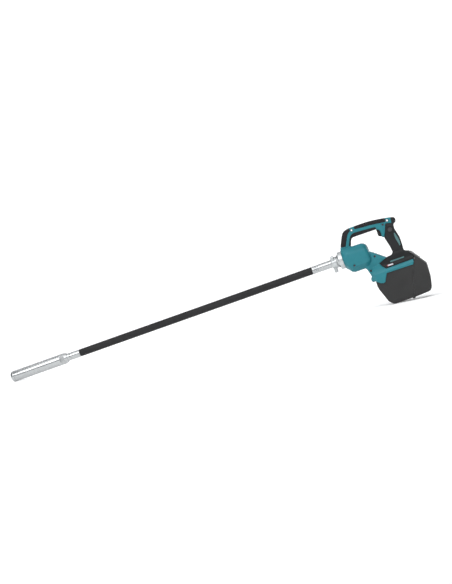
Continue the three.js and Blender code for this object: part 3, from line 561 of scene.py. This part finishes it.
# ---------------------------------------------------------------- head and shaft
def build_head():
    tip = turned([
        (HEAD_TIP_X, 0), (HEAD_TIP_X, 12, 4), (HEAD_TIP_X + 4.5, 17.8, 4), (HEAD_TIP_X + 10, HEAD_R, 2),
        (HEAD_CAP_X, HEAD_R, 0.5), (HEAD_CAP_X, 13.7, 0.3), (HEAD_CAP_X + 12, 13.7, 0.5),
        (HEAD_CAP_X + 12, 0),
    ])
    tube = turned([
        (HEAD_CAP_X + 0.3, 14), (HEAD_CAP_X + 0.3, HEAD_R, 0.5), (HEAD_REAR_X - 12, HEAD_R, 0.8),
        (HEAD_REAR_X - 3, 16, 0.8), (HEAD_REAR_X, 15, 0.5), (HEAD_REAR_X, 14, 0.2),
    ])
    outer = HEAD_R + 2
    flats = [
        box_mesh(HEAD_REAR_X - 26, HEAD_REAR_X - 10, y0, y1, -25, 25)
        for y0, y1 in ((-outer, -HEAD_FLAT_Y), (HEAD_FLAT_Y, outer))
    ]
    connector = turned([
        (HEAD_REAR_X - 14, 5.6), (HEAD_REAR_X - 14, 13.7), (HEAD_REAR_X - 0.3, 13.7),
        (HEAD_REAR_X + 0.3, NECK_R, 0.2), (HEAD_REAR_X + 8, NECK_R, 0.3), (HEAD_REAR_X + 9, NECK_R - 1, 0.3),
        (HEAD_REAR_X + 12, NECK_R - 1, 0.3), (HEAD_REAR_X + 13, NECK_R, 0.3), (HOSE_FRONT_X - 2, NECK_R, 1),
        (HOSE_FRONT_X - 0.3, NECK_R - 1.2, 0.4), (HOSE_FRONT_X - 0.3, 8.3),
        (HOSE_FRONT_X + 30, 7.9), (HOSE_FRONT_X + 30, 5.6),
    ])
    finished("head_tip_turned", tip, "head_tip", 40)
    finished("head_tube_turned", boolean(tube, flats), "head_tube", 30)
    return finished("head_connector_turned", connector, "head_connector", 40)


def build_hose(end_fitting):
    """A straight stiff tube from the ferrule to the head, with slightly rounded ends."""
    sides, steps = 64, 240
    length = HOSE_REAR_X - HOSE_FRONT_X
    bm = bmesh.new()
    rows = []
    for step in range(steps + 1):
        x = HOSE_REAR_X - length * step / steps
        ends = min(step, steps - step) * length / steps
        r = HOSE_R - 0.5 * math.exp(-((ends / 1.5) ** 2))
        rows.append(circle(bm, x, r, sides))
    inner = [circle(bm, x, HOSE_BORE_R, sides) for x in (HOSE_FRONT_X, HOSE_REAR_X)]
    loop = rows + inner
    for row, following in zip(loop, loop[1:] + loop[:1]):
        for i in range(sides):
            j = (i + 1) % sides
            bm.faces.new((row[i], row[j], following[j], following[i]))
    hose = finished("hose_rubber_tube", mesh_of(bm), "hose", 50)


def build_coupling():
    grooves = []
    for i in range(3):
        x = HOSE_REAR_X + 8 + 6 * i
        grooves += [
            (x, FERRULE_R, 0.3), (x + 0.8, FERRULE_R - 0.9, 0.3),
            (x + 2.2, FERRULE_R - 0.9, 0.3), (x + 3, FERRULE_R, 0.3),
        ]
    ferrule = turned([
        (HOSE_REAR_X - 30, 7.9), (HOSE_REAR_X - 30, 8), (HOSE_REAR_X + 0.3, 8.3),
        (HOSE_REAR_X + 0.3, FERRULE_R - 0.8), (HOSE_REAR_X + 1.5, FERRULE_R, 0.5), *grooves,
        (NUT_FRONT_X + 6, FERRULE_R), (NUT_FRONT_X + 6, 15.4), (NUT_FRONT_X + 11, 15.4),
        (NUT_FRONT_X + 11, 9), (HOSE_REAR_X + 12, 9), (HOSE_REAR_X + 12, 5.6),
        (HOSE_REAR_X - 4, 5.6), (HOSE_REAR_X - 4, 7.9),
    ])
    finished("shaft_ferrule_turned", ferrule, "shaft_ferrule", 40)

    ring = turned([
        (NUT_FRONT_X, FERRULE_R + 0.3), (NUT_FRONT_X, NUT_R - 2, 0.5), (NUT_FRONT_X + 2, NUT_R, 0.5),
        (NUT_REAR_X - 2, NUT_R, 0.5), (NUT_REAR_X, NUT_R - 1.5, 0.5), (NUT_REAR_X, 16.4),
        (NUT_FRONT_X + 5.5, 16.4), (NUT_FRONT_X + 5.5, FERRULE_R + 0.3),
    ])
    lugs = []
    for i in range(NUT_LUGS):
        bm = bmesh.new()
        bmesh.ops.create_cube(bm, size=1)
        for vertex in bm.verts:
            outer = vertex.co.z < 0
            half = 4.2 if outer else 6.5
            vertex.co = Vector((
                NUT_FRONT_X + 8 + 12 * vertex.co.x,
                2 * half * vertex.co.y,
                -NUT_LUG_R if outer else -NUT_R + 1,
            ))
        edges = [edge for edge in bm.edges if min(v.co.z for v in edge.verts) < -NUT_R - 1]
        bmesh.ops.bevel(bm, geom=edges, offset=1.6, segments=4, affect="EDGES", profile=0.5)
        bm.transform(TOOL @ Matrix.Rotation(NUT_TURN + 2 * math.pi * i / NUT_LUGS, 4, "X"))
        lugs.append(mesh_of(bm))
    nut = softened(joined(ring, *lugs), 0.5, 4, 0.5)
    finished("coupling_nut_cast", nut, "coupling_nut")

    flange = turned([
        (-17, 10), (-17, 15, 0.6), (-10, 15), (-10, 18.5, 0.6), (-7.5, 18.5), (-7.5, 20.5, 0.6),
        (FLANGE_FRONT_X, 22.5, 1), (FLANGE_FRONT_X, FLANGE_R - 1.5, 0.6),
        (FLANGE_FRONT_X + 1.5, FLANGE_R, 0.6), (FLANGE_REAR_X, FLANGE_R, 0.4),
        (FLANGE_REAR_X, 25), (20, 25), (20, 21.5), (12, 21.5), (12, 10),
    ])
    wells = []
    for i in range(FLANGE_BOLTS):
        angle = math.pi / 4 + i * 2 * math.pi / FLANGE_BOLTS
        y, z = FLANGE_BOLT_CIRCLE_R * math.cos(angle), FLANGE_BOLT_CIRCLE_R * math.sin(angle)
        front = FLANGE_FRONT_X
        wells.append(rod_mesh((front - 8, y, z), (front + 0.9, y, z), 3.8))
        wells.append(rod_mesh((front, y, z), (front + 7, y, z), 2.2))
    finished("front_flange_turned", boolean(flange, wells), "front_flange", 35)


# ---------------------------------------------------------------- moulded body
MOULDED = {  # node: (voxel mm, smoothing passes, share of faces kept)
    "housing_left": (0.8, 3, 0.4),
    "housing_right": (0.8, 3, 0.4),
    "front_grip": (0.7, 4, 0.4),
    "inner_grip": (0.7, 4, 0.4),
    "top_grip": (0.7, 4, 0.4),
    "grip_left": (0.8, 3, 0.4),
    "grip_right": (0.8, 3, 0.4),
    "grip_inlay_left": (0.35, 3, 0.5),
    "grip_inlay_right": (0.35, 3, 0.5),
    "side_strip_left": (0.35, 3, 0.5),
    "side_strip_right": (0.35, 3, 0.5),
    "name_plate": (0.35, 3, 0.5),
    "case_shell": (0.9, 4, 0.4),
    "case_door": (0.9, 4, 0.4),
    "door_latch": (0.4, 3, 0.5),
    "trigger": (0.4, 4, 0.5),
}


def build_mouldings():
    for node, (voxel, passes, keep) in MOULDED.items():
        finished(f"{node}_moulded", softened(cad_mesh(node), voxel, passes, keep), node)


HANDLE_SKINS = [
    "housing_left", "housing_right", "front_grip", "inner_grip", "top_grip", "grip_left", "grip_right",
]
HANDLE_CORE_BOX = (-10, 230, -14, 14, 33, 100)  # the part of the body that has a core, x, y, z


def build_handle_core():
    """The dark body under the handle's skins, which shows as their joint lines."""
    depth_mm = 1.5

    def add(obj):
        remesh = obj.modifiers.new("remesh", "REMESH")
        remesh.mode = "VOXEL"
        remesh.voxel_size = depth_mm * MM
        sink = obj.modifiers.new("sink", "DISPLACE")
        sink.mid_level = 0
        sink.strength = -depth_mm * MM
        fewer = obj.modifiers.new("fewer", "DECIMATE")
        fewer.ratio = 0.3

    whole = with_modifiers(joined(*(cad_mesh(node) for node in HANDLE_SKINS)), add)
    inner_part("handle_core", boolean(whole, [box_mesh(*HANDLE_CORE_BOX)], "INTERSECT"))


def build_shoulder_gasket():
    """The dark strip between the shoulder and the guard, inside the joint."""
    outline = [(126, -57), (137, -73), (229, -72.3), (229, -77.5), (135, -77.8), (121, -57)]
    inner_part("shoulder_gasket", prism_mesh(outline, -26, 26))


# ---------------------------------------------------------------- studio
FLOOR_GLOW = 0.22  # the floor is a light table, lit a little from below


def stage_mesh(name, mesh, colour, roughness):
    obj = bpy.data.objects.new(name, mesh)
    bpy.context.scene.collection.objects.link(obj)
    shade = Shader(name, colour, roughness)
    shade.roughen(shade.noise(3), roughness - 0.05, roughness + 0.05)
    shade.surface.inputs["Emission Color"].default_value = colour
    shade.surface.inputs["Emission Strength"].default_value = FLOOR_GLOW
    mesh.materials.append(shade.material)


def build_stage():
    """A pale floor that curves up into a backdrop behind the tool."""
    bm = bmesh.new()
    front, back, bend, top, side = -7.0, 3.0, 1.6, 3.4, 10.0
    outline = [(front, 0), (-1.0, 0), (back, 0)]
    for step in range(1, 13):
        a = math.radians(90 * step / 12)
        outline.append((back + bend * math.sin(a), bend * (1 - math.cos(a))))
    outline.append((back + bend, top))
    rows = [[bm.verts.new((x, y, z)) for x in (-side, side)] for y, z in outline]
    for row, following in zip(rows, rows[1:]):
        bm.faces.new((row[0], row[1], following[1], following[0]))
    mesh = mesh_of(bm)
    mesh.shade_smooth()
    stage_mesh("floor", mesh, srgb(250, 250, 250), 0.75)


def add_light(name, location, size, power, aim=(-0.1, 0, 0.15)):
    data = bpy.data.lights.new(name, "AREA")
    data.shape = "RECTANGLE"
    data.size, data.size_y = size
    data.energy = power
    light = bpy.data.objects.new(name, data)
    light.location = location
    light.rotation_euler = (Vector(aim) - light.location).to_track_quat("-Z", "Y").to_euler()
    bpy.context.scene.collection.objects.link(light)


def build_lights():
    """Soft boxes over a tool in a dim room: the metal mirrors the boxes, the floor and the dark between."""
    add_light("key", (-0.3, -2.5, 2.3), (4.5, 2.6), 88)
    add_light("overhead", (-0.1, -0.5, 2.6), (4.0, 0.8), 17)
    add_light("front_left", (-2.6, -3.2, 1.9), (1.5, 1.5), 18)
    add_light("front_right", (2.2, -3.6, 1.7), (1.3, 1.3), 20)
    add_light("floor_wash", (0, -4.2, 3.2), (7, 2.0), 40, aim=(0, -3.6, 0))
    add_light("mid_wash", (0, 2.2, 3.4), (8, 1.4), 22, aim=(0, 2.4, 0))
    add_light("backdrop_wash", (0, 1.0, 2.8), (8, 1.0), 76, aim=(0, 4.4, 0.7))
    world = bpy.data.worlds.new("studio")
    world.use_nodes = True
    background = world.node_tree.nodes["Background"]
    background.inputs["Color"].default_value = srgb(150, 153, 156)
    background.inputs["Strength"].default_value = 0.8
    bpy.context.scene.world = world
    bpy.context.scene.view_settings.view_transform = "Standard"


make_camera()
repaint_cad_nodes()
build_hose(build_head())
build_coupling()
build_mouldings()
build_handle_core()
build_shoulder_gasket()
build_stage()
build_lights()
